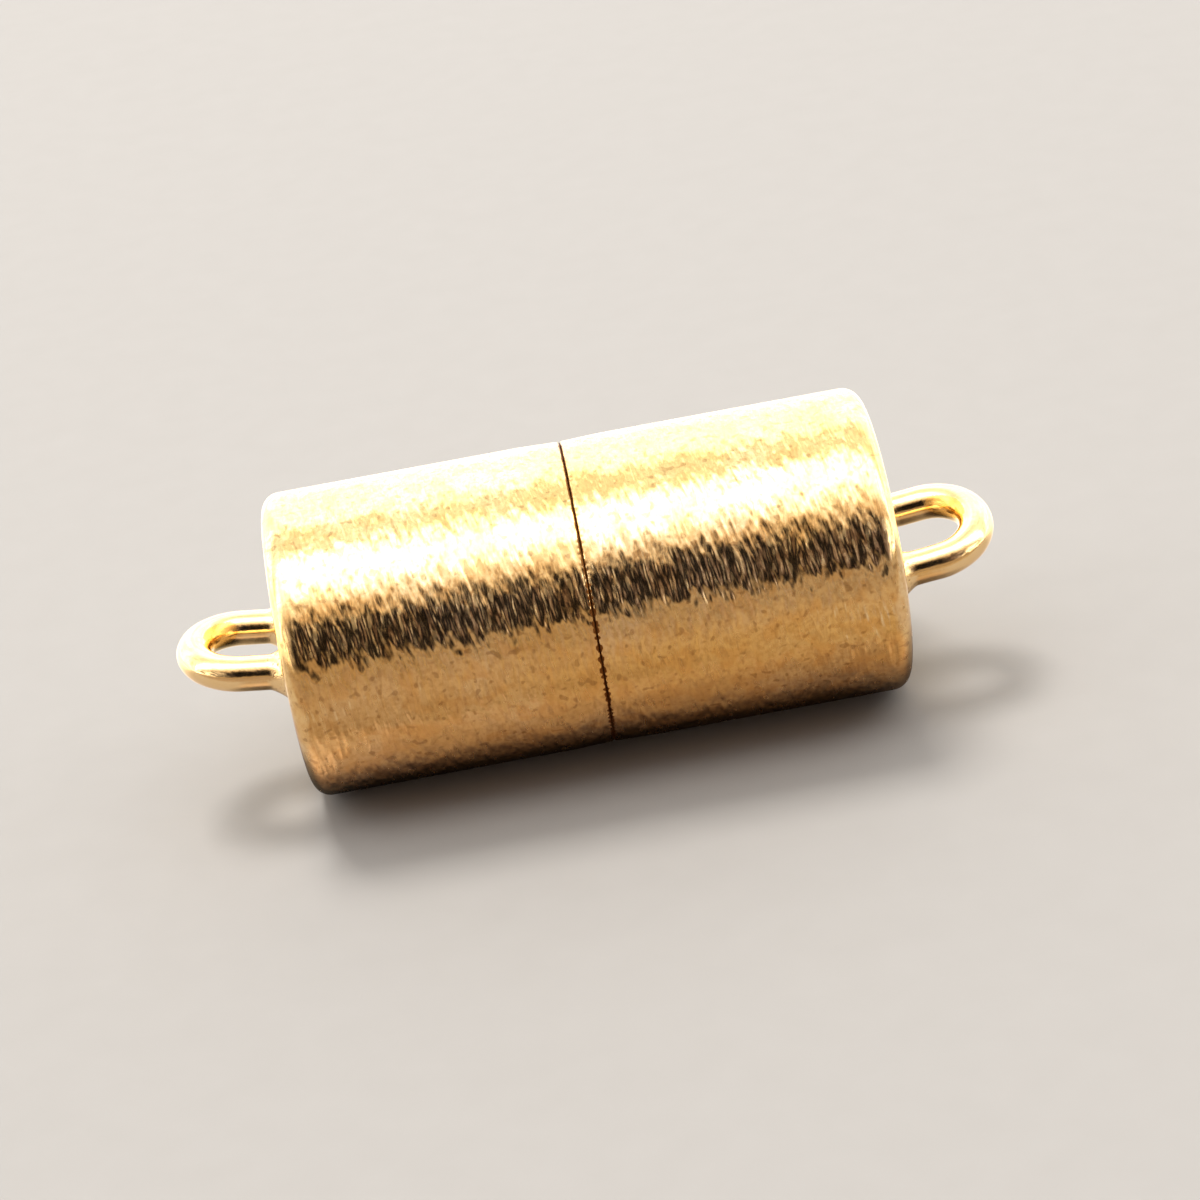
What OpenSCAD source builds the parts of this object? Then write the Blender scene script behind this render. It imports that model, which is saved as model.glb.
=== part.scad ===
// Magnetic barrel clasp: two turned metal halves that meet end to end, with a magnet in each.
// The plug half's magnet stands proud of its rim and seats in the recess of the socket half.
// Each half has a loop of round wire soldered to its closed end.
// X runs along the barrel and Z is up. The origin is on the surface that the barrel lies on,
// under the middle of the clasp.

/* [Barrel] */
// Diameter of the barrel
barrel_d = 7; // [6.4:0.1:10]
// Length of one half, from the middle of the seam to its closed end
half_len = 6.9; // [6.4:0.1:10]
// Radius of the rounded edge around each closed end
corner_r = 0.4; // [0.2:0.05:0.9]
// Gap between the two rims when the clasp is closed
seam_gap = 0.02; // [0.01:0.01:0.12]
// How much smaller each half's radius is at its rim, where polishing has eased it
rim_drop = 0.03; // [0.01:0.01:0.1]
// Length of the eased stretch beside each rim
rim_ease_len = 0.9; // [0.3:0.1:2]
// Width of the bevel on the outer edge of each rim
rim_bevel = 0.03; // [0.02:0.01:0.1]

/* [Magnets] */
// Diameter of both magnets
magnet_d = 5; // [3.5:0.1:5.4]
// Length of both magnets
magnet_len = 5; // [3:0.1:5.3]
// How far the plug half's magnet stands out of its rim
nose_len = 0.9; // [0.4:0.1:1.2]
// Radius of the eased edges of the magnets
magnet_edge_r = 0.12; // [0.05:0.01:0.3]
// Gap at the side and the back of a magnet in its bore
magnet_clearance = 0.05; // [0.02:0.01:0.1]
// Gap between the faces of the two magnets when the clasp is closed
face_gap = 0.02; // [0.01:0.01:0.1]

/* [Loops] */
// Diameter of the loops' wire
wire_d = 0.8; // [0.6:0.05:1]
// Radius of a loop's round end, to the middle of the wire
loop_r = 1.1; // [0.9:0.05:1.5]
// Length of a loop's straight legs, from the closed end to the round end
leg_len = 1.05; // [0.6:0.05:2]
// How far the solder reaches along the closed end and up each leg
solder_reach = 0.45; // [0.1:0.05:0.65]
// Angle by which the socket half's loop leans up from the barrel's axis
socket_lean = 8; // [0:0.5:12]
// Angle by which the plug half's loop leans up from the barrel's axis
plug_lean = 6.5; // [0:0.5:12]
// Angle by which the plug half's loop lies turned about the barrel's axis from the other loop
plug_turn = 11; // [0:1:45]
// How far below the barrel's axis the plug half's loop is soldered
plug_drop = 0.2; // [0:0.05:0.4]

/* [Hidden] */
$fn = 96;
gold = [0.86, 0.68, 0.36];
nickel = [0.76, 0.75, 0.72];
barrel_r = barrel_d / 2;
magnet_r = magnet_d / 2;
wire_r = wire_d / 2;
// Distances along the axis from the middle of the seam, each into the half that it names
rim = seam_gap / 2;
plug_nose_end = nose_len - rim;
socket_magnet_face = plug_nose_end + face_gap;
socket_bore_end = socket_magnet_face + magnet_len + magnet_clearance;
plug_bore_end = magnet_len - plug_nose_end + magnet_clearance;
// Angle at which the solder meets the wire and the closed end
wetting_angle = 15;
solder_centre = solder_reach / (1 - tan(wetting_angle));
solder_arc_r = solder_centre / cos(wetting_angle);
// How deep the legs and their solder are rooted in the closed end
root = 0.2;
// Length by which a cut runs past the surface that it opens
past = 1;

// What is cut away at a square corner at [0, 0] to round it, for a body to the lower left of it
module corner_waste(r) {
    difference() {
        translate([-r, -r]) square(r + past);
        translate([-r, -r]) circle(r);
    }
}

// Body of one half, standing on its rim, with the bore for its magnet open at the rim
module half_body(bore_end) {
    rotate_extrude() difference() {
        polygon([
            [0, rim],
            [barrel_r - rim_drop - rim_bevel, rim],
            [barrel_r - rim_drop, rim + rim_bevel],
            [barrel_r, rim + rim_ease_len],
            [barrel_r, half_len],
            [0, half_len]
        ]);
        translate([barrel_r, half_len]) corner_waste(corner_r);
        translate([-past, -past]) square([magnet_r + magnet_clearance + past, bore_end + past]);
    }
}

// Solder around the foot of one leg, with a hollow outline that runs out on the wire and the end
module solder() {
    rotate_extrude() difference() {
        translate([0, -root]) square([wire_r + solder_reach, root + solder_centre]);
        translate([wire_r + solder_centre, solder_centre]) circle(solder_arc_r);
    }
}

// Loop of round wire, standing on the plane z = 0 with its legs rooted below it
module wire_loop(lean) {
    translate([0, 0, solder_reach / 2]) rotate([lean, 0, 0]) translate([0, 0, -solder_reach / 2]) {
        for (side = [-1, 1])
            translate([side * loop_r, 0, -root]) cylinder(h = leg_len + root, r = wire_r);
        translate([0, 0, leg_len]) rotate([90, 0, 0])
            rotate_extrude(angle = 180) translate([loop_r, 0]) circle(wire_r);
    }
    for (side = [-1, 1])
        translate([side * loop_r, 0, 0]) solder();
}

// One half standing on its rim, with its loop turned about the barrel's axis and set off towards +Y,
// the side that comes to lie below. The line at which the body's revolved surface starts lies on top.
module half(bore_end, lean, turn = 0, drop = 0) {
    rotate([0, 0, -90]) half_body(bore_end);
    translate([0, drop, half_len]) rotate([0, 0, turn]) wire_loop(lean);
}

// Magnet, standing on the plane z = 0
module magnet() {
    rotate_extrude() difference() {
        square([magnet_r, magnet_len]);
        translate([magnet_r, magnet_len]) corner_waste(magnet_edge_r);
        translate([magnet_r, 0]) mirror([0, 1]) corner_waste(magnet_edge_r);
    }
}

// Lays a standing piece on its side on the plane z = 0, with its loop end towards -X or +X
module lay(towards) {
    translate([0, 0, barrel_r]) rotate([0, towards * 90, 0]) rotate([0, 0, -towards * 90]) children();
}

module socket_half() {
    color(gold) lay(-1) half(socket_bore_end, socket_lean);
}

module socket_magnet() {
    color(nickel) lay(-1) translate([0, 0, socket_magnet_face]) magnet();
}

module plug_half() {
    color(gold) lay(1) half(plug_bore_end, plug_lean, plug_turn, plug_drop);
}

module plug_magnet() {
    color(nickel) lay(1) translate([0, 0, -plug_nose_end]) magnet();
}

socket_half();
socket_magnet();
plug_half();
plug_magnet();
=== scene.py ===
"""Looks of the magnetic barrel clasp: fine meshes, brushed and polished metal, floor, light and camera.

Lengths are in metres unless a name or comment says otherwise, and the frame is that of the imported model:
X runs along the barrel, Z is up, the barrel lies on z = 0 and the two halves meet at x = 0. The sizes below
repeat those of the part's source.
"""
import math

import bpy
import numpy as np
from mathutils import Matrix, Vector


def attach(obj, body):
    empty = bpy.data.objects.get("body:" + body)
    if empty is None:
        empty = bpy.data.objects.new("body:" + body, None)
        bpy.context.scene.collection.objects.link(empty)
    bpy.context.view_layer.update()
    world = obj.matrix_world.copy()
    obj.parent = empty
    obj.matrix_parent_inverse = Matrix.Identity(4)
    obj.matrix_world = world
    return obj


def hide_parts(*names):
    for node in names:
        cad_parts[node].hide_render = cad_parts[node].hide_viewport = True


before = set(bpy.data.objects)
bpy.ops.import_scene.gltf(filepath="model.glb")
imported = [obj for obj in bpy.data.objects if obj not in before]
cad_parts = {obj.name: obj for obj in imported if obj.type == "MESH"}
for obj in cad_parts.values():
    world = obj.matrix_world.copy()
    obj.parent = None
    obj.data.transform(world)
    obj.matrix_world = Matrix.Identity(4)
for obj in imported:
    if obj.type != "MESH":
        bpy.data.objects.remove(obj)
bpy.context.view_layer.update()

# Sizes of the clasp
MM = 0.001
BARREL_R = 3.5 * MM
HALF_LEN = 6.9 * MM
CORNER_R = 0.4 * MM
# Where a rim lies, from the middle of the seam
RIM = 0.01 * MM
RIM_DROP = 0.03 * MM
RIM_EASE_LEN = 0.9 * MM
RIM_BEVEL = 0.03 * MM
MAGNET_R = 2.5 * MM
MAGNET_LEN = 5 * MM
MAGNET_EDGE_R = 0.12 * MM
MAGNET_CLEARANCE = 0.05 * MM
# Where the standing magnet ends and the set back one starts, from the middle of the seam
PLUG_NOSE_END = 0.89 * MM
SOCKET_MAGNET_FACE = 0.91 * MM
WIRE_R = 0.4 * MM
LOOP_R = 1.1 * MM
LEG_LEN = 1.05 * MM
SOLDER_REACH = 0.45 * MM
WETTING_ANGLE = math.radians(15)
SOLDER_CENTRE = SOLDER_REACH / (1 - math.tan(WETTING_ANGLE))
SOLDER_ARC_R = SOLDER_CENTRE / math.cos(WETTING_ANGLE)

# Each half: the side of the seam that it lies on, where its bore ends, where its magnet starts, how far its
# loop leans up, is turned about the barrel's axis and sits below it, and the seed of its small unevenness
HALVES = {
    "socket": {
        "side": -1,
        "bore_end": SOCKET_MAGNET_FACE + MAGNET_LEN + MAGNET_CLEARANCE,
        "magnet_start": SOCKET_MAGNET_FACE,
        "lean": math.radians(8),
        "turn": 0.0,
        "drop": 0.0,
        "seed": 3,
    },
    "plug": {
        "side": 1,
        "bore_end": MAGNET_LEN - PLUG_NOSE_END + MAGNET_CLEARANCE,
        "magnet_start": -PLUG_NOSE_END,
        "lean": math.radians(6.5),
        "turn": math.radians(11),
        "drop": 0.2 * MM,
        "seed": 8,
    },
}

# Fineness of the meshes: points around a ring or along an outline, the longest step of an outline, and how
# close the points beside a crisp corner lie
AROUND_BARREL = 720
AROUND_MAGNET = 240
AROUND_WIRE = 72
ALONG_LEG = 9
ALONG_BEND = 61
CORNER_POINTS = 17
EDGE_POINTS = 7
WALL_STEP = 0.25 * MM
CRISP = 0.008 * MM
# Extra rings of the wall beside the rim, in millimetres from its bevel, and of a loop's foot, in shares of
# the solder's reach
RINGS_BESIDE_RIM = (0.02, 0.04, 0.065, 0.095, 0.13, 0.18)
RINGS_ON_FOOT = (-0.3, 0, 0.08, 0.18, 0.3, 0.42, 0.54, 0.66, 0.78, 0.9, 1.02, 1.2)

# Small unevenness of the real surfaces. Each pair named AROUND or ALONG holds the fewest and the most waves
# once around or along the piece.
RIPPLE_PARTS = 24
RIPPLE_SIZES = (0.4, 1)
WALL_WAVER = 0.003 * MM
WAVER_AROUND = (2, 14)
WAVER_PHASE = 5
NICK_DEPTH = 0.015 * MM
NICK_REACH = 0.09 * MM
NICKS_AROUND = (95, 175)
WIRE_WAVER = 0.006 * MM
WIRE_WAVER_ALONG = (2, 9)
SOLDER_WAVER = 0.012 * MM
SOLDER_WAVER_AROUND = (2, 5)
SOLDER_SAG = 0.05 * MM


# Surfaces
def arc(centre, radius, start, end, count):
    """Points on a circle about centre, as centre + radius (cos t, sin t) for t from start to end."""
    t = np.linspace(start, end, count)
    return np.column_stack([centre[0] + radius * np.cos(t), centre[1] + radius * np.sin(t)])


def crisp_line(corners):
    """A line through the corners, with a point close before and after each inner corner.

    The extra points keep smooth shading from rounding a corner over the whole faces beside it.
    """
    corners = np.asarray(corners, float)
    here = corners[1:-1]
    before = corners[:-2] - here
    after = corners[2:] - here
    before *= CRISP / np.linalg.norm(before, axis=1, keepdims=True)
    after *= CRISP / np.linalg.norm(after, axis=1, keepdims=True)
    inner = np.stack([here + before, here, here + after], 1).reshape(-1, 2)
    return np.concatenate([corners[:1], inner, corners[-1:]])


def fill_in(line, step):
    """The line with more points on its long stretches, so that none is longer than step."""
    out = [line[:1]]
    for a, b in zip(line[:-1], line[1:]):
        count = max(1, math.ceil(np.linalg.norm(b - a) / step))
        t = np.arange(1, count + 1)[:, None] / count
        out.append(a + (b - a) * t)
    return np.concatenate(out)


def ripple(phase, waves, seed):
    """A smooth random value from -1 to 1 that repeats when the phase goes round once.

    It is a sum of cosines of whole multiples of the phase, with random shifts and strengths.
    """
    rng = np.random.default_rng(seed)
    counts = rng.integers(*waves, RIPPLE_PARTS)
    shifts = rng.uniform(0, 2 * np.pi, RIPPLE_PARTS)
    sizes = rng.uniform(*RIPPLE_SIZES, RIPPLE_PARTS)
    value = (sizes * np.cos(np.multiply.outer(phase, counts) + shifts)).sum(-1)
    return value / np.abs(value).max()


def eased(value, low, high):
    """0 below low, 1 above high, and 3 t^2 - 2 t^3 between them."""
    t = np.clip((value - low) / (high - low), 0, 1)
    return t * t * (3 - 2 * t)


def mesh_object(name, points, quads, uv, materials, face_material=None):
    """A smooth-shaded object from whole arrays of points and quads.

    A quad whose first two or last two corners are the same point becomes a triangle.
    The faces are turned round if they point inwards, which is where the sum over the faces of the cross
    product of their diagonals, dotted with their first corner, is negative.
    """
    corners = points[quads]
    across = np.cross(corners[:, 2] - corners[:, 0], corners[:, 3] - corners[:, 1])
    if (across * (corners[:, 0] - points.mean(0))).sum() < 0:
        quads = np.roll(quads[:, ::-1], -2, 1)
        uv = np.roll(uv[:, ::-1], -2, 1)
    triangle = quads[:, 2] == quads[:, 3]
    triangle_start = quads[:, 0] == quads[:, 1]
    keep = np.ones(quads.shape, bool)
    keep[triangle, 3] = False
    keep[triangle_start, 0] = False
    sizes = keep.sum(1)
    mesh = bpy.data.meshes.new(name)
    mesh.vertices.add(len(points))
    mesh.vertices.foreach_set("co", points.astype(np.float32).ravel())
    mesh.loops.add(int(sizes.sum()))
    mesh.loops.foreach_set("vertex_index", quads[keep].astype(np.int32))
    mesh.polygons.add(len(quads))
    mesh.polygons.foreach_set("loop_start", (np.cumsum(sizes) - sizes).astype(np.int32))
    mesh.polygons.foreach_set("loop_total", sizes.astype(np.int32))
    mesh.polygons.foreach_set("use_smooth", np.ones(len(quads), bool))
    for material in materials:
        mesh.materials.append(material)
    if face_material is not None:
        mesh.polygons.foreach_set("material_index", face_material.astype(np.int32))
    layer = mesh.uv_layers.new(name="surface")
    layer.data.foreach_set("uv", uv[keep].astype(np.float32).ravel())
    mesh.update()
    mesh.validate()
    made = bpy.data.objects.new(name, mesh)
    bpy.context.scene.collection.objects.link(made)
    return made


def closed_rows(name, rows, poles, lengths, width, materials, row_material=None):
    """A closed surface from rings of points, with a fan of triangles from each end ring to its pole.

    Column j of a ring joins column j + 1, and the last joins the first. U of the UV map is the length
    along the rows and V the way around a ring, both in metres.
    """
    count, around = rows.shape[:2]
    points = np.concatenate([rows.reshape(-1, 3), poles])
    column = np.arange(around)
    beside = (column + 1) % around
    row = np.arange(count - 1)[:, None] * around
    wall = np.stack([row + column, row + beside, row + around + beside, row + around + column], -1)
    last = (count - 1) * around
    start = np.full(around, count * around)
    end = start + 1
    first_fan = np.stack([start, start, beside, column], -1)
    last_fan = np.stack([last + column, last + beside, end, end], -1)
    quads = np.concatenate([first_fan, wall.reshape(-1, 4), last_fan])
    u = np.repeat(lengths[:-1], around)
    u_next = np.repeat(lengths[1:], around)
    v = np.tile(column, count + 1) * width / around
    v_next = v + width / around
    sides = [(u, v), (u, v_next), (u_next, v_next), (u_next, v)]
    uv = np.stack([np.stack(side, -1) for side in sides], 1)
    face_material = None if row_material is None else np.repeat(row_material, around)
    return mesh_object(name, points, quads, uv, materials, face_material)


def lathe(name, profile, side, around, materials, relief=None, row_material=None):
    """A turned solid: each profile point (a, r), with the relief added to r, goes around the barrel's axis.

    The point at angle t lies at x = side a, y = r sin t, z = BARREL_R + r cos t. The profile starts and
    ends on the axis.
    """
    t = np.arange(around) * 2 * np.pi / around
    a, r = profile[1:-1].T
    radius = np.repeat(r[:, None], around, 1)
    if relief is not None:
        radius = radius + relief(a[:, None], r[:, None], t)
    x = np.repeat(side * a[:, None], around, 1)
    rows = np.stack([x, radius * np.sin(t), BARREL_R + radius * np.cos(t)], -1)
    poles = np.array([[side * profile[i, 0], 0, BARREL_R] for i in (0, -1)])
    steps = np.linalg.norm(np.diff(profile, axis=0), axis=1)
    lengths = np.concatenate([[0], np.cumsum(steps)])
    return closed_rows(name, rows, poles, lengths, 2 * np.pi * BARREL_R, materials, row_material)


def barrel_profile(bore_end):
    """Outline (a, r) of half a barrel: bore, rim with its bevel, eased wall, round corner, closed end.

    a is the distance along the axis from the middle of the seam, and r the distance from the axis.
    """
    bore_r = MAGNET_R + MAGNET_CLEARANCE
    rim_r = BARREL_R - RIM_DROP
    inside = crisp_line([
        [bore_end, 0],
        [bore_end, bore_r],
        [RIM, bore_r],
        [RIM, rim_r - RIM_BEVEL],
        [RIM + RIM_BEVEL, rim_r],
        [RIM + RIM_EASE_LEN, BARREL_R],
    ])
    near_rim = RIM + RIM_BEVEL + np.array(RINGS_BESIDE_RIM) * MM
    ease = (near_rim - RIM - RIM_BEVEL) / (RIM_EASE_LEN - RIM_BEVEL)
    worn = np.column_stack([near_rim, rim_r + RIM_DROP * ease])
    corner = arc((HALF_LEN - CORNER_R, BARREL_R - CORNER_R), CORNER_R, np.pi / 2, 0, CORNER_POINTS)
    before_corner = [[HALF_LEN - CORNER_R - CRISP, BARREL_R]]
    end = [[HALF_LEN, BARREL_R - CORNER_R - CRISP], [HALF_LEN, 0]]
    line = np.concatenate([inside[:-1], worn, inside[-1:], before_corner, corner, end])
    return fill_in(line, WALL_STEP)


def barrel_relief(seed):
    """Small unevenness of a barrel's outer wall, as a change of its radius.

    It is a slow waver all over the wall, and close to the rim a row of nicks, which are the upper parts
    of a fast ripple around it and fade away from the rim.
    """
    def relief(a, r, t):
        wall = eased(r, BARREL_R - CORNER_R, BARREL_R - 2 * RIM_DROP - RIM_BEVEL)
        slow = ripple(t, WAVER_AROUND, seed) * np.cos(a / HALF_LEN * WAVER_PHASE + seed)
        nicks = np.clip(ripple(t, NICKS_AROUND, seed + 1), 0, 1)
        near_rim = 1 - eased(a, RIM + RIM_BEVEL, RIM + RIM_BEVEL + NICK_REACH)
        return wall * (WALL_WAVER * slow - NICK_DEPTH * nicks * near_rim)
    return relief


def make_barrel(body, half, wall, turned):
    """The cup of one half: the brushed wall and the turned inside, rim and closed end."""
    profile = barrel_profile(half["bore_end"])
    middle = (profile[1:] + profile[:-1]) / 2
    on_wall = (middle[:, 0] > RIM + CRISP) & (middle[:, 1] > BARREL_R - CORNER_R)
    piece = lathe(
        body + "_barrel", profile, half["side"], AROUND_BARREL, [wall, turned],
        barrel_relief(half["seed"]), np.where(on_wall, 0, 1),
    )
    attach(piece, body)
    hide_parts(body + "_half")


def loop_path():
    """Middle line of a loop that stands on the plane z = 0, and how far along it each point lies.

    It goes up one leg at x = -LOOP_R from below the closed end, round a half circle and down the other leg.
    """
    foot = np.array(RINGS_ON_FOOT) * SOLDER_REACH
    shank = np.linspace(foot[-1], LEG_LEN, ALONG_LEG)[1:]
    leg = np.concatenate([foot, shank])
    turn = np.linspace(np.pi, 0, ALONG_BEND)[1:-1]
    x = np.concatenate([np.full(len(leg), -LOOP_R), LOOP_R * np.cos(turn), np.full(len(leg), LOOP_R)])
    z = np.concatenate([leg, LEG_LEN + LOOP_R * np.sin(turn), leg[::-1]])
    line = np.column_stack([x, np.zeros_like(x), z])
    steps = np.linalg.norm(np.diff(line, axis=0), axis=1)
    return line, np.concatenate([[0], np.cumsum(steps)])


def wire_radius(z):
    """Radius of a loop with its solder at height z: the wire's, or near the closed end the hollow flare's.

    The flare is the near side of a circle of SOLDER_ARC_R about the point (WIRE_R + SOLDER_CENTRE,
    SOLDER_CENTRE).
    """
    height = np.clip(z, 0, SOLDER_REACH)
    flare = WIRE_R + SOLDER_CENTRE - np.sqrt(SOLDER_ARC_R ** 2 - (SOLDER_CENTRE - height) ** 2)
    return np.where(z < SOLDER_REACH, flare, WIRE_R)


def make_loop(body, half, material):
    """A loop of round wire with the solder at its feet: rings square to the middle line along it.

    The ring point at angle p is line + radius (cos p (0, 1, 0) + sin p side), where side is the line's
    direction crossed with (0, 1, 0). The wire is a little oval, by a ripple along it, and the solder is
    uneven and thicker below, where it sagged.
    """
    line, lengths = loop_path()
    ahead = np.gradient(line, lengths, axis=0)
    ahead /= np.linalg.norm(ahead, axis=1, keepdims=True)
    plane = np.array([0.0, 1.0, 0.0])
    side_way = np.cross(ahead, plane)
    p = np.arange(AROUND_WIRE) * 2 * np.pi / AROUND_WIRE
    phase = lengths / lengths[-1] * 2 * np.pi
    seed = half["seed"]
    uneven = ripple(phase, WIRE_WAVER_ALONG, seed)[:, None] * np.cos(2 * p + seed)
    pooled = SOLDER_WAVER * ripple(p, SOLDER_WAVER_AROUND, seed + 5) + SOLDER_SAG * np.cos(p)
    on_solder = 1 - eased(line[:, 2, None], 0, SOLDER_REACH)
    radius = wire_radius(line[:, 2])[:, None] + WIRE_WAVER * uneven + pooled * on_solder
    rows = line[:, None] + radius[..., None] * (
        np.cos(p)[:, None] * plane + np.sin(p)[:, None] * side_way[:, None]
    )
    poles = line[[0, -1]]

    def lay(points):
        """The standing points bent, turned about the barrel's axis, set down and laid on the closed end.

        They lean up about the middle of the solder's height, more and more over that height.
        """
        x, y, z = np.moveaxis(points, -1, 0)
        pivot = SOLDER_REACH / 2
        angle = half["lean"] * eased(z, 0, SOLDER_REACH)
        y, z = (
            y * np.cos(angle) - (z - pivot) * np.sin(angle),
            pivot + y * np.sin(angle) + (z - pivot) * np.cos(angle),
        )
        sin_t, cos_t = math.sin(half["turn"]), math.cos(half["turn"])
        x, y = x * cos_t - y * sin_t, x * sin_t + y * cos_t
        side = half["side"]
        return np.stack([side * (HALF_LEN + z), -side * x, BARREL_R - half["drop"] - y], -1)

    end_lengths = np.concatenate([[0], lengths + WIRE_R, [lengths[-1] + 2 * WIRE_R]])
    piece = closed_rows(
        body + "_loop", lay(rows), lay(poles), end_lengths, 2 * np.pi * WIRE_R, [material],
    )
    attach(piece, body)
    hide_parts(body + "_half")


def make_magnet(body, half, material):
    """A round magnet with eased edges."""
    start = half["magnet_start"]
    end = start + MAGNET_LEN
    inner = MAGNET_R - MAGNET_EDGE_R
    profile = np.concatenate([
        [[start, 0], [start, inner - CRISP]],
        arc((start + MAGNET_EDGE_R, inner), MAGNET_EDGE_R, np.pi, np.pi / 2, EDGE_POINTS),
        arc((end - MAGNET_EDGE_R, inner), MAGNET_EDGE_R, np.pi / 2, 0, EDGE_POINTS),
        [[end, inner - CRISP], [end, 0]],
    ])
    profile = fill_in(profile, WALL_STEP)
    piece = lathe(body + "_magnet_plated", profile, half["side"], AROUND_MAGNET, [material])
    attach(piece, body)
    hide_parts(body + "_magnet")


# Shader helpers
class Graph:
    """A node tree, with short calls that add a node and join its inputs to values or to other nodes."""

    def __init__(self, tree):
        self.tree = tree

    def feed(self, socket, value):
        if isinstance(value, bpy.types.NodeSocket):
            self.tree.links.new(value, socket)
        else:
            socket.default_value = value

    def add(self, kind, inputs=None, **settings):
        node = self.tree.nodes.new("ShaderNode" + kind)
        for key, value in settings.items():
            setattr(node, key, value)
        for key, value in (inputs or {}).items():
            self.feed(node.inputs[key], value)
        return node

    def math(self, operation, *values):
        return self.add("Math", dict(enumerate(values)), operation=operation).outputs[0]

    def vector(self, operation, *values):
        return self.add("VectorMath", dict(enumerate(values)), operation=operation).outputs[0]

    def scaled(self, vector, factor):
        node = self.add("VectorMath", {0: vector, "Scale": factor}, operation="SCALE")
        return node.outputs[0]

    def smooth(self, value, low, high, out_low=0.0, out_high=1.0):
        """The value eased from out_low at low to out_high at high."""
        inputs = {0: value, 1: low, 2: high, 3: out_low, 4: out_high}
        return self.add("MapRange", inputs, interpolation_type="SMOOTHSTEP").outputs[0]

    def mix(self, factor, a, b, blend="MIX"):
        inputs = {0: factor, 6: a, 7: b}
        return self.add("Mix", inputs, data_type="RGBA", blend_type=blend).outputs[2]

    def ramp(self, factor, stops):
        """The colour at the factor between stops of a place from 0 to 1 and a colour of any brightness."""
        peak = max(max(colour) for _, colour in stops)
        node = self.add("ValToRGB", {0: factor})
        elements = node.color_ramp.elements
        for place, _ in stops[1:-1]:
            elements.new(place)
        for element, (place, colour) in zip(elements, stops):
            element.position = place
            element.color = [part / peak for part in colour] + [1]
        return self.scaled(node.outputs[0], peak)

    def noise(self, vector, scale=1.0, detail=2.0, roughness=0.5):
        inputs = {"Vector": vector, "Scale": scale, "Detail": detail, "Roughness": roughness}
        return self.add("TexNoise", inputs).outputs["Fac"]

    def split(self, vector):
        return self.add("SeparateXYZ", {0: vector}).outputs

    def join(self, x, y, z):
        return self.add("CombineXYZ", {0: x, 1: y, 2: z}).outputs[0]

    def bump(self, height, depth):
        """A normal from the height, which stands depth metres high where it is 1."""
        return self.add("Bump", {"Height": height, "Distance": depth, "Strength": 1.0}).outputs[0]

    def tinted(self, colour, *layers):
        """The colour with each layer laid over it: its mask, its strength and its own colour."""
        for mask, strength, tint in layers:
            colour = self.mix(self.math("MULTIPLY", mask, strength), colour, tint)
        return colour

    def built_up(self, amounts, **masks):
        """The least amount, with each mask times its own amount added."""
        value = amounts["least"]
        for name, mask in masks.items():
            value = self.math("MULTIPLY_ADD", mask, amounts[name], value)
        return value

    def group(self, group, **inputs):
        """The outputs of a node group placed here with its own inputs."""
        node = self.add("Group", node_tree=group)
        for key, value in inputs.items():
            self.feed(node.inputs[key.replace("_", " ").capitalize()], value)
        return node.outputs


def new_group(name, inputs, outputs):
    """An empty shader node group with named sockets; gives it, its graph and the sockets inside it."""
    tree = bpy.data.node_groups.new(name, "ShaderNodeTree")
    for socket, kind in inputs.items():
        tree.interface.new_socket(name=socket, in_out="INPUT", socket_type="NodeSocket" + kind)
    for socket, kind in outputs.items():
        tree.interface.new_socket(name=socket, in_out="OUTPUT", socket_type="NodeSocket" + kind)
    given = tree.nodes.new("NodeGroupInput").outputs
    wanted = tree.nodes.new("NodeGroupOutput").inputs
    return tree, Graph(tree), given, wanted


# Effects that several finishes use. Lengths in them are in millimetres.
# The brush strokes' planes lean along the way up that faces the camera: its y and z
LEAN_AXIS = (math.sin(math.radians(28)), math.cos(math.radians(28)))
# The noise of strokes, flecks and patches at which each starts and at which it is full
DASHES_FROM = (0.6, 0.72)
PATCHES_FROM = (0.35, 0.65)
GRAIN_FROM = (0.42, 0.65)
FLECKS_FROM = 0.85
FLECKS_SPREAD = 0.4
FLECKS_SOFTNESS = 0.12
# How many of each lie in a millimetre
PATCHES_PER_MM = 0.45
SMUDGES_PER_MM = 3.5
GRAIN_PER_MM = 9
# How far turning grooves wander around the piece, in pitches
GROOVE_WANDER = 0.15


def place_group():
    """Place on the clasp in millimetres from Object coordinates.

    Place is the point seen from the middle of the barrel's axis, Out its distance from the axis, From seam
    its distance from the middle of the seam, and Around the angle about the axis, which jumps underneath.
    """
    outputs = {"Place": "Vector", "Out": "Float", "From seam": "Float", "Around": "Float"}
    tree, g, _, wanted = new_group("place_on_clasp", {}, outputs)
    metres = g.vector("SUBTRACT", g.add("TexCoord").outputs["Object"], (0, 0, BARREL_R))
    place = g.scaled(metres, 1 / MM)
    x, y, z = g.split(place)
    g.feed(wanted["Place"], place)
    squares = g.math("MULTIPLY_ADD", y, y, g.math("MULTIPLY", z, z))
    g.feed(wanted["Out"], g.math("SQRT", squares))
    g.feed(wanted["From seam"], g.math("ABSOLUTE", x))
    g.feed(wanted["Around"], g.math("ARCTAN2", y, z))
    return tree


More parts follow.
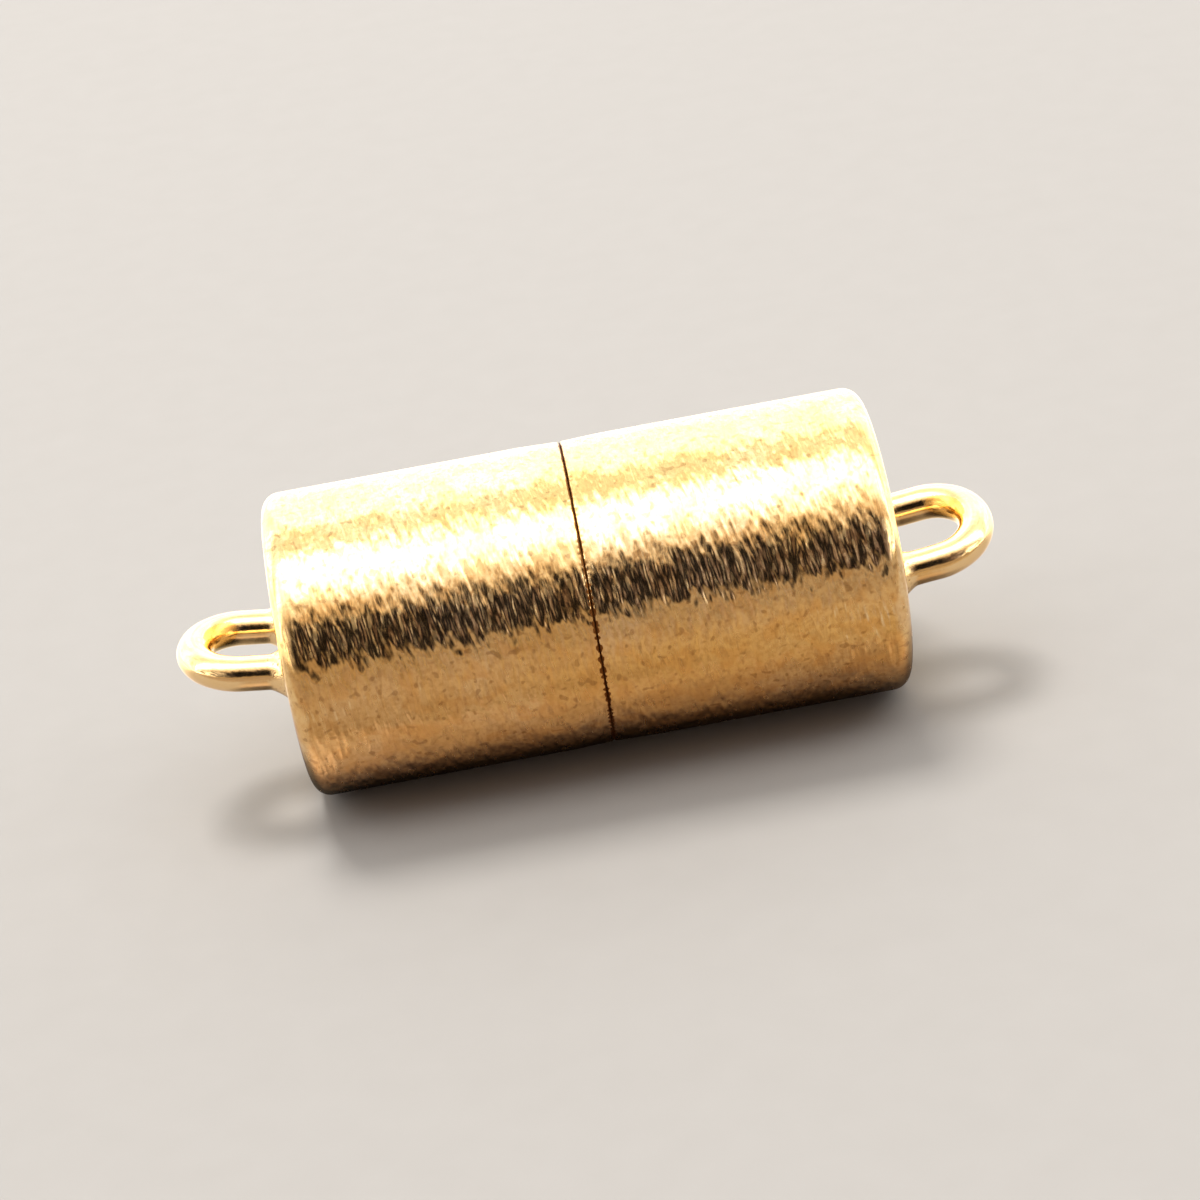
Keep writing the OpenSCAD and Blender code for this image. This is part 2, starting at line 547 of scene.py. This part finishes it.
def strokes_group():
    """Short brush strokes that run around the barrel.

    Noise is drawn out to Length around the barrel and squeezed to Width along it. The strokes lie in
    planes that lean by Lean, in millimetres along the barrel for each millimetre across it. Dashes are
    the highest parts of the noise.
    """
    inputs = {"Place": "Vector", "Width": "Float", "Length": "Float", "Lean": "Float", "Shift": "Float"}
    tree, g, given, wanted = new_group("brush_strokes", inputs, {"Height": "Float", "Dashes": "Float"})
    x, y, z = g.split(given["Place"])
    across = g.math("ADD", g.math("MULTIPLY", y, LEAN_AXIS[0]), g.math("MULTIPLY", z, LEAN_AXIS[1]))
    leaned = g.math("ADD", x, g.math("MULTIPLY", across, given["Lean"]))
    drawn = g.join(
        g.math("DIVIDE", leaned, given["Width"]),
        g.math("DIVIDE", y, given["Length"]),
        g.math("DIVIDE", z, given["Length"]),
    )
    shifted = g.vector("ADD", drawn, g.join(given["Shift"], given["Shift"], 0.0))
    height = g.noise(shifted, detail=0.5)
    g.feed(wanted["Height"], height)
    g.feed(wanted["Dashes"], g.smooth(height, *DASHES_FROM))
    return tree


def flecks_group():
    """Small scattered spots of Size millimetres; the higher Amount from 0 to 1, the more of them."""
    inputs = {"Place": "Vector", "Size": "Float", "Amount": "Float"}
    tree, g, given, wanted = new_group("flecks", inputs, {"Mask": "Float"})
    cell = g.join(given["Size"], given["Size"], given["Size"])
    spread = g.noise(g.vector("DIVIDE", given["Place"], cell), detail=0)
    low = g.math("SUBTRACT", FLECKS_FROM, g.math("MULTIPLY", given["Amount"], FLECKS_SPREAD))
    g.feed(wanted["Mask"], g.smooth(spread, low, g.math("ADD", low, FLECKS_SOFTNESS)))
    return tree


def turning_group():
    """Fine grooves left by turning: noise over the distance from the axis and along it, Pitch apart."""
    inputs = {"Out": "Float", "Along": "Float", "Around": "Float", "Pitch": "Float"}
    tree, g, given, wanted = new_group("turning_marks", inputs, {"Height": "Float"})
    wander = g.math("MULTIPLY", g.math("SINE", given["Around"]), GROOVE_WANDER)
    grooves = g.join(
        g.math("ADD", g.math("DIVIDE", given["Out"], given["Pitch"]), wander),
        g.math("DIVIDE", given["Along"], given["Pitch"]),
        0.0,
    )
    g.feed(wanted["Height"], g.noise(grooves, detail=2, roughness=0.6))
    return tree


def handling_group():
    """Soft patches of handling, a few millimetres wide, smudges inside them and a fine mottled grain."""
    outputs = {"Patches": "Float", "Smudges": "Float", "Grain": "Float"}
    tree, g, given, wanted = new_group("handling", {"Place": "Vector"}, outputs)
    patches = g.noise(given["Place"], scale=PATCHES_PER_MM, detail=3)
    g.feed(wanted["Patches"], g.smooth(patches, *PATCHES_FROM))
    g.feed(wanted["Smudges"], g.noise(given["Place"], scale=SMUDGES_PER_MM, detail=4, roughness=0.65))
    grain = g.noise(given["Place"], scale=GRAIN_PER_MM, detail=2)
    g.feed(wanted["Grain"], g.smooth(grain, *GRAIN_FROM))
    return tree


# Colours of the metals and of what lies on them
GOLD = (0.95, 0.66, 0.27, 1)
PALE_GOLD = (0.98, 0.74, 0.38, 1)
DEEP_GOLD = (0.86, 0.50, 0.16, 1)
DULL_GOLD = (0.70, 0.42, 0.15, 1)
# Grime and painted shade of the gap at the seam
GRIME_AND_GAP_SHADE_BROWN = (0.22, 0.085, 0.02, 1)
FLECK_BROWN = (0.38, 0.20, 0.07, 1)
NICKEL = (0.72, 0.73, 0.74, 1)
DULL_NICKEL = (0.51, 0.51, 0.51, 1)

# Brushed wall. The strokes stand in the metal's relief, but the cuts only dull it. Widths and lengths are
# in millimetres, and shift keeps two sorts of stroke from lying on each other.
BROAD_STROKES = {"width": 0.135, "length": 0.5, "lean": 0.12, "shift": 3.0}
FINE_STROKES = {"width": 0.09, "length": 0.3, "lean": 0.07, "shift": 11.0}
DULL_CUTS = {"width": 0.1, "length": 0.4, "lean": 0.12, "shift": 41.0}
STROKE_DEPTH = 0.046 * MM
FINE_SHARE = 0.4
# Middle height of both strokes together, taken off so that they don't step where the brushing stops
MEAN_HEIGHT = 0.7
# Where the brushing stops before the round end edge, in millimetres from the seam, and what is left past it
BRUSHED_TO = (6.47, 6.55)
LEFT_ON_EDGE = 0.06
FLECKS = {"size": 0.16, "amount": 0.47}
BLOTS = {"size": 0.5, "amount": 0.8}
# How strongly the grain, blots, dashes and flecks colour the gold
GRAIN_TINT = 0.42
BLOT_TINT = 0.38
DASH_TINT = 0.2
FLECK_TINT = 0.5

# Grime and painted shade of the gap along the seam, in millimetres: how far the dark reaches from the
# middle of the seam where there is least and most of it, and how much further on the left half
SEAM_DARK_REACH = (0.016, 0.034)
SEAM_DARK_ON_LEFT = 0.014
SEAM_DARK_FADE = 0.01
SEAM_MIDDLE = 0.005
# It gathers in beads, which change its reach by so much between them and on them. They thin out upwards
# between these heights above the axis.
BEADS_PER_RADIAN = 25.0
BEADS_FROM = (0.42, 0.58)
BEAD_GROWTH = (-0.012, 0.034)
BEADS_THIN_OUT = (1.5, 2.6)

# Turned faces: how far apart the grooves are, how near the seam the rim lies, and where on it the painted
# shade of the gap starts and is full, from the axis, all in millimetres
GROOVE_PITCH = 0.07
GROOVE_DEPTH = 0.006 * MM
RIM_WITHIN = 0.1
RIM_PAINTED_SHADE = (3.15, 3.35)

# Loops: faint marks all over, and pits in the solder, which ends this many millimetres from the seam
MARKS_PER_MM = 9
MARK_SHARE = 0.6
PITS = {"size": 0.07, "amount": 0.5}
PIT_DEPTH = 0.006 * MM
PIT_TINT = 0.7
SOLDER_ENDS = (7.1, 7.5)

# Magnets: rings rubbed on the faces, spots, and painted shade of the gap where the rims meet, in
# millimetres
RING_PITCH = 0.2
RUBBED_FROM = (0.45, 0.7)
SPOTS = {"size": 0.2, "amount": 0.45}
RUB_DEPTH = 0.004 * MM
MAGNET_PAINTED_SHADE = (0.05, 0.1)

# Roughness of each finish: the least, and what each effect adds where it is full
WALL_ROUGH = {"least": 0.1, "smudges": 0.1, "cuts": 0.14, "grime": 0.3}
TURNED_ROUGH = {"least": 0.2, "smudges": 0.14, "grime": 0.5}
WIRE_ROUGH = {"least": 0.08, "smudges": 0.1, "solder": 0.12}
NICKEL_ROUGH = {"least": 0.1, "smudges": 0.2, "spots": 0.2}


def new_metal(name, **constants):
    """A metal material; gives it, its graph and the shader node, with the constants set on its sockets."""
    material = bpy.data.materials.new(name)
    material.use_nodes = True
    g = Graph(material.node_tree)
    shader = material.node_tree.nodes["Principled BSDF"]
    shader.inputs["Metallic"].default_value = 1
    for key, value in constants.items():
        shader.inputs[key].default_value = value
    return material, g, shader


def brushed_gold(effects):
    """Barrel wall: leaning brush strokes, smooth end edges, spots, and grime with painted shade of the gap
    in beads along the seam.
    """
    material, g, shader = new_metal("brushed_gold", Anisotropic=0.6)
    place = g.group(effects["place"])
    handled = g.group(effects["handling"], place=place["Place"])
    broad = g.group(effects["strokes"], place=place["Place"], **BROAD_STROKES)
    fine = g.group(effects["strokes"], place=place["Place"], **FINE_STROKES)
    cuts = g.group(effects["strokes"], place=place["Place"], **DULL_CUTS)
    brushed = g.smooth(place["From seam"], *BRUSHED_TO, 1.0, LEFT_ON_EDGE)
    height = g.math("MULTIPLY_ADD", fine["Height"], FINE_SHARE, broad["Height"])
    relief = g.math("MULTIPLY", g.math("SUBTRACT", height, MEAN_HEIGHT), brushed)
    g.feed(shader.inputs["Normal"], g.bump(relief, STROKE_DEPTH))

    flecks = g.group(effects["flecks"], place=place["Place"], **FLECKS)
    blots = g.group(effects["flecks"], place=place["Place"], **BLOTS)
    colour = g.tinted(
        g.mix(handled["Patches"], GOLD, PALE_GOLD),
        (handled["Grain"], GRAIN_TINT, DULL_GOLD),
        (blots["Mask"], BLOT_TINT, DEEP_GOLD),
        (fine["Dashes"], DASH_TINT, FLECK_BROWN),
        (flecks["Mask"], FLECK_TINT, FLECK_BROWN),
    )

    # Grime and painted shade of the gap along the seam, gathered in beads, darker and rougher
    along, _, up = g.split(place["Place"])
    low = g.smooth(up, *BEADS_THIN_OUT, 1.0, 0.0)
    in_row = g.join(g.math("MULTIPLY", place["Around"], BEADS_PER_RADIAN), 0.0, 0.0)
    beads = g.smooth(g.noise(in_row, detail=0), *BEADS_FROM, *BEAD_GROWTH)
    reach = g.smooth(handled["Smudges"], *PATCHES_FROM, *SEAM_DARK_REACH)
    reach = g.math("MULTIPLY_ADD", beads, low, reach)
    reach = g.math("ADD", reach, g.smooth(along, -SEAM_MIDDLE, SEAM_MIDDLE, SEAM_DARK_ON_LEFT, 0.0))
    seam = g.smooth(place["From seam"], reach, g.math("ADD", reach, SEAM_DARK_FADE), 1.0, 0.0)
    g.feed(shader.inputs["Base Color"], g.mix(seam, colour, GRIME_AND_GAP_SHADE_BROWN))

    rough = g.built_up(WALL_ROUGH, smudges=handled["Smudges"], cuts=cuts["Dashes"], grime=seam)
    g.feed(shader.inputs["Roughness"], rough)
    g.feed(shader.inputs["Tangent"], g.add("Tangent", direction_type="UV_MAP", uv_map="surface").outputs[0])
    return material


def turned_gold(effects):
    """Closed end, rim and bore: fine turning grooves, softly shiny, with painted shade of the gap on the
    rim's outer edge.
    """
    material, g, shader = new_metal("turned_gold", Anisotropic=0.3)
    place = g.group(effects["place"])
    handled = g.group(effects["handling"], place=place["Place"])
    grooves = g.group(
        effects["turning"], out=place["Out"], along=place["From seam"], around=place["Around"],
        pitch=GROOVE_PITCH,
    )
    g.feed(shader.inputs["Normal"], g.bump(grooves["Height"], GROOVE_DEPTH))
    # Painted shade of the gap on the rim's outer edge, darker and rougher
    on_rim = g.math("LESS_THAN", place["From seam"], RIM_WITHIN)
    grime = g.math("MULTIPLY", on_rim, g.smooth(place["Out"], *RIM_PAINTED_SHADE))
    colour = g.mix(handled["Patches"], GOLD, PALE_GOLD)
    g.feed(shader.inputs["Base Color"], g.mix(grime, colour, GRIME_AND_GAP_SHADE_BROWN))
    rough = g.built_up(TURNED_ROUGH, smudges=handled["Smudges"], grime=grime)
    g.feed(shader.inputs["Roughness"], rough)
    return material


def polished_wire(effects):
    """Loops and their solder: polished, with faint marks, duller and pitted on the solder."""
    material, g, shader = new_metal("polished_wire")
    place = g.group(effects["place"])
    handled = g.group(effects["handling"], place=place["Place"])
    solder = g.smooth(place["From seam"], *SOLDER_ENDS, 1.0, 0.0)
    pits = g.group(effects["flecks"], place=place["Place"], **PITS)
    dull = g.math("MULTIPLY", solder, pits["Mask"])
    marks = g.noise(place["Place"], scale=MARKS_PER_MM, detail=3)
    height = g.math("SUBTRACT", g.math("MULTIPLY", marks, MARK_SHARE), dull)
    g.feed(shader.inputs["Normal"], g.bump(height, PIT_DEPTH))
    colour = g.tinted(g.mix(handled["Smudges"], GOLD, PALE_GOLD), (dull, PIT_TINT, FLECK_BROWN))
    g.feed(shader.inputs["Base Color"], colour)
    rough = g.built_up(WIRE_ROUGH, smudges=handled["Smudges"], solder=solder)
    g.feed(shader.inputs["Roughness"], rough)
    return material


def plated_nickel(effects):
    """Magnets: bright plate with rings rubbed on the faces, scuffs, small dull spots and painted shade of
    the gap near the seam.
    """
    material, g, shader = new_metal("plated_nickel")
    place = g.group(effects["place"])
    handled = g.group(effects["handling"], place=place["Place"])
    rings = g.group(
        effects["turning"], out=place["Out"], along=place["From seam"], around=place["Around"],
        pitch=RING_PITCH,
    )
    spots = g.group(effects["flecks"], place=place["Place"], **SPOTS)
    height = g.math("SUBTRACT", rings["Height"], spots["Mask"])
    g.feed(shader.inputs["Normal"], g.bump(height, RUB_DEPTH))
    colour = g.mix(g.smooth(rings["Height"], *RUBBED_FROM), NICKEL, DULL_NICKEL)
    colour = g.mix(spots["Mask"], colour, DULL_NICKEL)
    # Painted shade of the gap near the seam
    grime = g.smooth(place["From seam"], *MAGNET_PAINTED_SHADE, 1.0, 0.0)
    g.feed(shader.inputs["Base Color"], g.mix(grime, colour, GRIME_AND_GAP_SHADE_BROWN))
    rough = g.built_up(NICKEL_ROUGH, smudges=handled["Smudges"], spots=spots["Mask"])
    g.feed(shader.inputs["Roughness"], rough)
    return material


# Camera, fitted to the photograph of 1200 x 1200 pixels in barrel radii
PHOTO_SIZE = 1200
BARREL_CENTRE_PX = (586.5, 591.2)
PX_PER_RADIUS = 153.2
CAMERA_DISTANCE = 20.6 * BARREL_R
CAMERA_ELEVATION = math.radians(28.1)
CAMERA_YAW = math.radians(-1.2)
CAMERA_ROLL = math.radians(10.55)
SENSOR = 36.0


def make_camera():
    """A camera that looks at the middle of the barrel from the front, above the floor."""
    sin_y, cos_y = math.sin(CAMERA_YAW), math.cos(CAMERA_YAW)
    sin_e, cos_e = math.sin(CAMERA_ELEVATION), math.cos(CAMERA_ELEVATION)
    sin_r, cos_r = math.sin(CAMERA_ROLL), math.cos(CAMERA_ROLL)
    back = Vector((sin_y, -cos_y * cos_e, cos_y * sin_e))
    level_up = Vector((0, sin_e, cos_e))
    level_right = level_up.cross(back)
    right = cos_r * level_right - sin_r * level_up
    up = sin_r * level_right + cos_r * level_up
    metres_per_px = BARREL_R / PX_PER_RADIUS
    off_right = (PHOTO_SIZE / 2 - BARREL_CENTRE_PX[0]) * metres_per_px
    off_up = (BARREL_CENTRE_PX[1] - PHOTO_SIZE / 2) * metres_per_px
    centre = Vector((0, 0, BARREL_R))
    data = bpy.data.cameras.new("photo_view")
    data.sensor_width = SENSOR
    data.lens = SENSOR * CAMERA_DISTANCE / (PHOTO_SIZE * metres_per_px)
    data.clip_start = 0.005
    data.clip_end = 10
    camera = bpy.data.objects.new("photo_view", data)
    place = centre + back * CAMERA_DISTANCE + right * off_right + up * off_up
    camera.matrix_world = Matrix.Translation(place) @ Matrix((right, up, back)).transposed().to_4x4()
    bpy.context.scene.collection.objects.link(camera)
    bpy.context.scene.camera = camera


# Studio light over the top: colour at degrees from the horizon in front over the top (90) to behind (180)
OVER_THE_TOP = [
    (0, (1.0, 0.78, 0.62)),
    (50, (1.0, 0.78, 0.62)),
    (60, (1.3, 1.3, 1.4)),
    (68, (3.0, 3.0, 3.1)),
    (76, (4.1, 4.1, 4.1)),
    (90, (4.0, 4.0, 4.0)),
    (103, (1.45, 1.45, 1.4)),
    (118, (1.35, 1.35, 1.3)),
    (132, (2.65, 2.65, 2.65)),
    (180, (2.5, 2.5, 2.5)),
]
# In front stands a dark card, whose top fades over CARD_TOP degrees, with its colour from left (-1) to
# right (1)
CARD_TOP = (39, 52)
FRONT_CARD = [
    (-0.96, (1.0, 0.92, 0.88)),
    (-0.75, (0.60, 0.53, 0.52)),
    (-0.52, (0.30, 0.26, 0.25)),
    (-0.36, (0.03, 0.024, 0.028)),
    (-0.12, (0.004, 0.003, 0.003)),
    (0.05, (0.006, 0.005, 0.005)),
    (0.35, (0.10, 0.07, 0.07)),
    (0.60, (0.28, 0.24, 0.25)),
    (0.80, (1.5, 1.4, 1.3)),
]
# Between the horizon and the card's foot, which fades over CARD_FOOT degrees, the ground rises
CARD_FOOT = (3, 13)
GROUND_RISE = (0.50, 0.37, 0.27, 1)
# The card's edges are uneven across it, by so many degrees from end to end of the noise
TOP_UNEVEN = 50
FOOT_UNEVEN = 8
UNEVEN_SCALE = 9
# Third coordinate of the noise of the card's patches, which sets them apart from its edges
PATCHES_APART = 7.0
# Weakest and strongest light in the card's patches, and in the soft clouds of the light over the top
PATCHY = (0.1, 3.5)
PATCHY_FROM = (0.4, 0.62)
CLOUDS = (0.8, 1.2)
CLOUD_SCALE = 6
CAMERA_BACKGROUND = (0.88, 0.87, 0.85, 1)

# Soft lamp above and behind, which throws the shadow to the front
LAMP_PLACE = (-0.04, 0.12, 0.34)
LAMP_SIZE = 0.12
LAMP_POWER = 2.2


def make_light():
    """Soft light from all round, with a dark card in front and a bright panel above it, and a soft lamp.

    The camera doesn't see the light but a plain pale background. The lamp lights the floor alone.
    """
    world = bpy.data.worlds.new("studio")
    bpy.context.scene.world = world
    world.use_nodes = True
    g = Graph(world.node_tree)
    world.node_tree.nodes.clear()
    direction = g.add("TexCoord").outputs["Generated"]
    x, y, z = g.split(direction)
    over = g.math("DIVIDE", g.math("ARCTAN2", z, g.math("MULTIPLY", y, -1.0)), math.pi)
    top = g.ramp(over, [(degrees / 180, colour) for degrees, colour in OVER_THE_TOP])
    clouds = g.smooth(g.noise(direction, scale=CLOUD_SCALE, detail=3), *PATCHES_FROM, *CLOUDS)
    top = g.scaled(top, clouds)
    across = g.math("MULTIPLY_ADD", x, 0.5, 0.5)
    card = g.ramp(across, [((side + 1) / 2, colour) for side, colour in FRONT_CARD])
    uneven = g.math("SUBTRACT", g.noise(g.join(x, 0.0, 0.0), scale=UNEVEN_SCALE, detail=2), 0.5)
    patches = g.noise(g.join(x, z, PATCHES_APART), scale=UNEVEN_SCALE, detail=2)
    card = g.scaled(card, g.smooth(patches, *PATCHY_FROM, *PATCHY))
    foot = g.math("MULTIPLY_ADD", uneven, FOOT_UNEVEN / 180, over)
    low = g.mix(g.smooth(foot, CARD_FOOT[0] / 180, CARD_FOOT[1] / 180), GROUND_RISE, card)
    edge = g.math("MULTIPLY_ADD", uneven, TOP_UNEVEN / 180, over)
    light = g.mix(g.smooth(edge, CARD_TOP[0] / 180, CARD_TOP[1] / 180), low, top)
    studio = g.add("Background", {"Color": light})
    plain = g.add("Background", {"Color": CAMERA_BACKGROUND})
    seen = g.add("LightPath").outputs["Is Camera Ray"]
    mixed = g.add("MixShader", {0: seen, 1: studio.outputs[0], 2: plain.outputs[0]})
    g.add("OutputWorld", {0: mixed.outputs[0]})
    data = bpy.data.lights.new("lamp", "AREA")
    data.size = LAMP_SIZE
    data.energy = LAMP_POWER
    lamp = bpy.data.objects.new("lamp", data)
    lamp.location = LAMP_PLACE
    lamp.rotation_euler = Vector(LAMP_PLACE).to_track_quat("Z", "Y").to_euler()
    lamp.visible_camera = False
    lamp.visible_glossy = False
    bpy.context.scene.collection.objects.link(lamp)


# Floor: half its width, and the two colours of its faint grain
FLOOR_HALF = 1.5
FLOOR_COLOUR = (0.185, 0.173, 0.158, 1)
FLOOR_COLOUR_2 = (0.195, 0.183, 0.168, 1)
FLOOR_GRAIN_PER_M = 900
# Painted reflection: the colour that only reflections see of the floor in front, at the clasp's left and
# right end: the place in barrel radii from its middle, and colour. It is painted black underneath as shade
# under the clasp, and painted lighter close in front, where the clasp's real shade dims it.
PAINTED_REFLECTION_FROM = -12
PAINTED_REFLECTION_LEFT = [
    (-11, (0.124, 0.088, 0.072)),
    (-4.1, (0.142, 0.104, 0.082)),
    (-2.5, (0.126, 0.090, 0.066)),
    (-1.8, (0.126, 0.088, 0.060)),
    (-1.1, (0.284, 0.208, 0.167)),
    (-0.9, (0.251, 0.181, 0.149)),
    (-0.75, (0.121, 0.084, 0.074)),
    (-0.5, (0.007, 0.005, 0.004)),
]
PAINTED_REFLECTION_RIGHT = [
    (-11, (0.113, 0.077, 0.048)),
    (-4.1, (0.153, 0.108, 0.067)),
    (-2.5, (0.171, 0.122, 0.069)),
    (-1.8, (0.143, 0.100, 0.057)),
    (-1.1, (0.233, 0.158, 0.101)),
    (-0.9, (0.195, 0.130, 0.093)),
    (-0.75, (0.130, 0.088, 0.065)),
    (-0.5, (0.028, 0.017, 0.011)),
]
# The painted reflection is mottled by this painted shade, and fades to these painted reflection colours
# behind the clasp and beside its ends
PAINTED_REFLECTION_MOTTLE = (0.6, 0.52, 0.45, 1)
MOTTLE_PER_M = 260
MOTTLE_FROM = (0.46, 0.72)
PAINTED_REFLECTION_BEHIND = (0.60, 0.57, 0.52, 1)
BEHIND = (0, 3 * BARREL_R)
PAINTED_REFLECTION_BESIDE = (0.17, 0.15, 0.15, 1)
BESIDE_ENDS = (7.2 * MM, 10 * MM)
IN_FRONT_OF_ENDS = (-14 * MM, -8 * MM)


def make_floor():
    """A plain pale floor with a faint grain, which glossy rays see in darker and warmer painted reflection
    colours.
    """
    mesh = bpy.data.meshes.new("floor")
    s = FLOOR_HALF
    mesh.from_pydata([(-s, -s, 0), (s, -s, 0), (s, s, 0), (-s, s, 0)], [], [(0, 1, 2, 3)])
    floor = bpy.data.objects.new("floor", mesh)
    bpy.context.scene.collection.objects.link(floor)
    material = bpy.data.materials.new("pale_floor")
    material.use_nodes = True
    g = Graph(material.node_tree)
    shader = material.node_tree.nodes["Principled BSDF"]
    shader.inputs["Roughness"].default_value = 0.9
    place = g.add("TexCoord").outputs["Object"]
    x, y, _ = g.split(place)
    seen = g.mix(g.noise(place, scale=FLOOR_GRAIN_PER_M, detail=3), FLOOR_COLOUR, FLOOR_COLOUR_2)
    near = g.math("MULTIPLY_ADD", y, -1 / (PAINTED_REFLECTION_FROM * BARREL_R), 1.0)
    left, right = (
        g.ramp(near, [(1 - radii / PAINTED_REFLECTION_FROM, colour) for radii, colour in stops])
        for stops in (PAINTED_REFLECTION_LEFT, PAINTED_REFLECTION_RIGHT)
    )
    # Painted reflection of the floor in front: black underneath as painted shade, lighter close in front
    painted_reflection = g.mix(g.smooth(x, -HALF_LEN, HALF_LEN), left, right)
    # Painted reflection: mottled, and faded to other painted colours beside the clasp's ends and behind it
    mottle = g.smooth(g.noise(place, scale=MOTTLE_PER_M, detail=4, roughness=0.6), *MOTTLE_FROM)
    painted_reflection = g.mix(mottle, painted_reflection, PAINTED_REFLECTION_MOTTLE, "MULTIPLY")
    beside = g.math(
        "MULTIPLY", g.smooth(g.math("ABSOLUTE", x), *BESIDE_ENDS), g.smooth(y, *IN_FRONT_OF_ENDS),
    )
    painted_reflection = g.mix(beside, painted_reflection, PAINTED_REFLECTION_BESIDE)
    painted_reflection = g.mix(g.smooth(y, *BEHIND), painted_reflection, PAINTED_REFLECTION_BEHIND)
    # Painted reflection: glossy rays see these painted colours in place of the floor's own
    mirrored = g.add("LightPath").outputs["Is Glossy Ray"]
    g.feed(shader.inputs["Base Color"], g.mix(mirrored, seen, painted_reflection))
    mesh.materials.append(material)


def make_scene():
    """The whole scene: camera, light, floor, finishes and the pieces of each half."""
    make_camera()
    make_light()
    make_floor()
    effects = {
        "place": place_group(),
        "strokes": strokes_group(),
        "flecks": flecks_group(),
        "turning": turning_group(),
        "handling": handling_group(),
    }
    wall = brushed_gold(effects)
    turned = turned_gold(effects)
    wire = polished_wire(effects)
    nickel = plated_nickel(effects)
    for body, half in HALVES.items():
        make_barrel(body, half, wall, turned)
        make_loop(body, half, wire)
        make_magnet(body, half, nickel)
    bpy.context.scene.view_settings.view_transform = "Standard"


make_scene()
